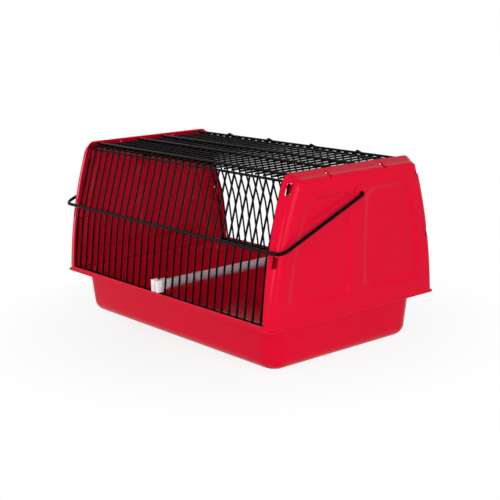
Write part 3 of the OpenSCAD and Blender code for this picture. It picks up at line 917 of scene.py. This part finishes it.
def floor_material():
    """White paper, which keeps the shadow round the object and is plain white further off."""
    material, tree = new_material("white paper sweep")
    paper = add_node(tree, "ShaderNodeBsdfDiffuse", values={"Color": linear_rgb("#DEDEDE")})
    glow = add_node(tree, "ShaderNodeEmission", values={"Strength": 1.0})
    path = add_node(tree, "ShaderNodeLightPath")
    both = add_node(tree, "ShaderNodeMath", {"operation": "MAXIMUM"},
                    links={0: (path, "Is Camera Ray"), 1: (path, "Is Glossy Ray")})
    seen = add_node(tree, "ShaderNodeMath", {"operation": "MAXIMUM"},
                    links={0: (both, "Value"), 1: (path, "Is Transmission Ray")})
    place = add_node(tree, "ShaderNodeTexCoord")
    away = add_node(tree, "ShaderNodeVectorMath", {"operation": "LENGTH"},
                    links={0: (place, "Object")})
    share = add_node(tree, "ShaderNodeMapRange",
                     values={"From Min": 0.1, "From Max": 0.26, "To Min": 0.84, "To Max": 1.0},
                     links={"Value": (away, "Value")})
    lit = add_node(tree, "ShaderNodeMath", {"operation": "MULTIPLY"},
                   links={0: (seen, "Value"), 1: (share, "Result")})
    mixed = add_node(tree, "ShaderNodeMixShader",
                     links={0: (lit, "Value"), 1: (paper, "BSDF"), 2: (glow, "Emission")})
    add_node(tree, "ShaderNodeOutputMaterial", links={"Surface": (mixed, "Shader")})
    return material


floor_half = 12.0
bm = bmesh.new()
corners = ((-floor_half, -floor_half), (floor_half, -floor_half),
           (floor_half, floor_half), (-floor_half, floor_half))
bm.faces.new([bm.verts.new((x, y, 0)) for x, y in corners])
mesh = bpy.data.meshes.new("floor")
bm.to_mesh(mesh)
bm.free()
mesh.materials.append(floor_material())
floor = bpy.data.objects.new("floor", mesh)
bpy.context.scene.collection.objects.link(floor)

world = bpy.data.worlds.new("studio")
bpy.context.scene.world = world
world.use_nodes = True
tree = world.node_tree
tree.nodes.clear()
path = add_node(tree, "ShaderNodeLightPath")
both = add_node(tree, "ShaderNodeMath", {"operation": "MAXIMUM"},
                links={0: (path, "Is Camera Ray"), 1: (path, "Is Glossy Ray")})
seen = add_node(tree, "ShaderNodeMath", {"operation": "MAXIMUM"},
                links={0: (both, "Value"), 1: (path, "Is Transmission Ray")})
soft = add_node(tree, "ShaderNodeBackground", values={"Color": (1, 1, 1, 1), "Strength": 0.16})
white = add_node(tree, "ShaderNodeBackground", values={"Color": (1, 1, 1, 1), "Strength": 1.0})
chosen = add_node(tree, "ShaderNodeMixShader",
                  links={0: (seen, "Value"), 1: (soft, "Background"), 2: (white, "Background")})
add_node(tree, "ShaderNodeOutputWorld", links={"Surface": (chosen, "Shader")})


def soft_lamp(name, place, aim, size, power, shine=True):
    """A rectangular soft lamp. Without shine it lights but leaves no reflection."""
    data = bpy.data.lights.new(name, "AREA")
    data.shape = "RECTANGLE"
    data.size = size[0]
    data.size_y = size[1]
    data.energy = power
    lamp = bpy.data.objects.new(name, data)
    bpy.context.scene.collection.objects.link(lamp)
    lamp.visible_camera = False
    lamp.visible_glossy = shine
    lamp.location = place
    lamp.rotation_euler = (Vector(aim) - Vector(place)).to_track_quat("-Z", "Y").to_euler()


middle = (0, 0, 0.08)
soft_lamp("key", (1.7, -0.25, 0.45), middle, (0.7, 0.5), 13.5)
soft_lamp("front", (-0.9, -1.5, 0.25), middle, (1.5, 0.5), 16)
soft_lamp("strip", (0.95, -0.8, 0.42), middle, (0.08, 0.6), 4.5)
soft_lamp("top", (0.8, -0.4, 1.4), middle, (0.7, 0.7), 4.5)
soft_lamp("rear", (-1.5, 1.1, 0.3), middle, (1.5, 0.5), 12, shine=False)

# The camera was solved from the straight edges of the object: azimuth, height, roll, distance in
# millimetres, focal length and centre in pixels of a frame 500 pixels wide.
frame_px = 500
sensor_mm = 36
azimuth = math.radians(50.17)
elevation = math.radians(13.46)
roll = math.radians(-1.09)
distance = 1051.9 * MM
focal_px = 1141.2
centre_px = (246.8, 259.8)
target = Vector((7.6, 0, 59.8)) * MM
back = Vector((math.sin(azimuth) * math.cos(elevation), -math.cos(azimuth) * math.cos(elevation),
               math.sin(elevation)))
level = Vector((math.cos(azimuth), math.sin(azimuth), 0))
rise = back.cross(level)
right = level * math.cos(roll) + rise * math.sin(roll)
up = rise * math.cos(roll) - level * math.sin(roll)
camera_data = bpy.data.cameras.new("camera")
camera_data.sensor_width = sensor_mm
camera_data.lens = focal_px / frame_px * sensor_mm
camera_data.shift_x = (frame_px / 2 - centre_px[0]) / frame_px
camera_data.shift_y = (centre_px[1] - frame_px / 2) / frame_px
camera_data.clip_start = 0.01
camera = bpy.data.objects.new("camera", camera_data)
bpy.context.scene.collection.objects.link(camera)
spot = target + back * distance
camera.matrix_world = Matrix(((right.x, up.x, back.x, spot.x), (right.y, up.y, back.y, spot.y),
                              (right.z, up.z, back.z, spot.z), (0, 0, 0, 1)))
bpy.context.scene.camera = camera
bpy.context.scene.view_settings.view_transform = "Standard"
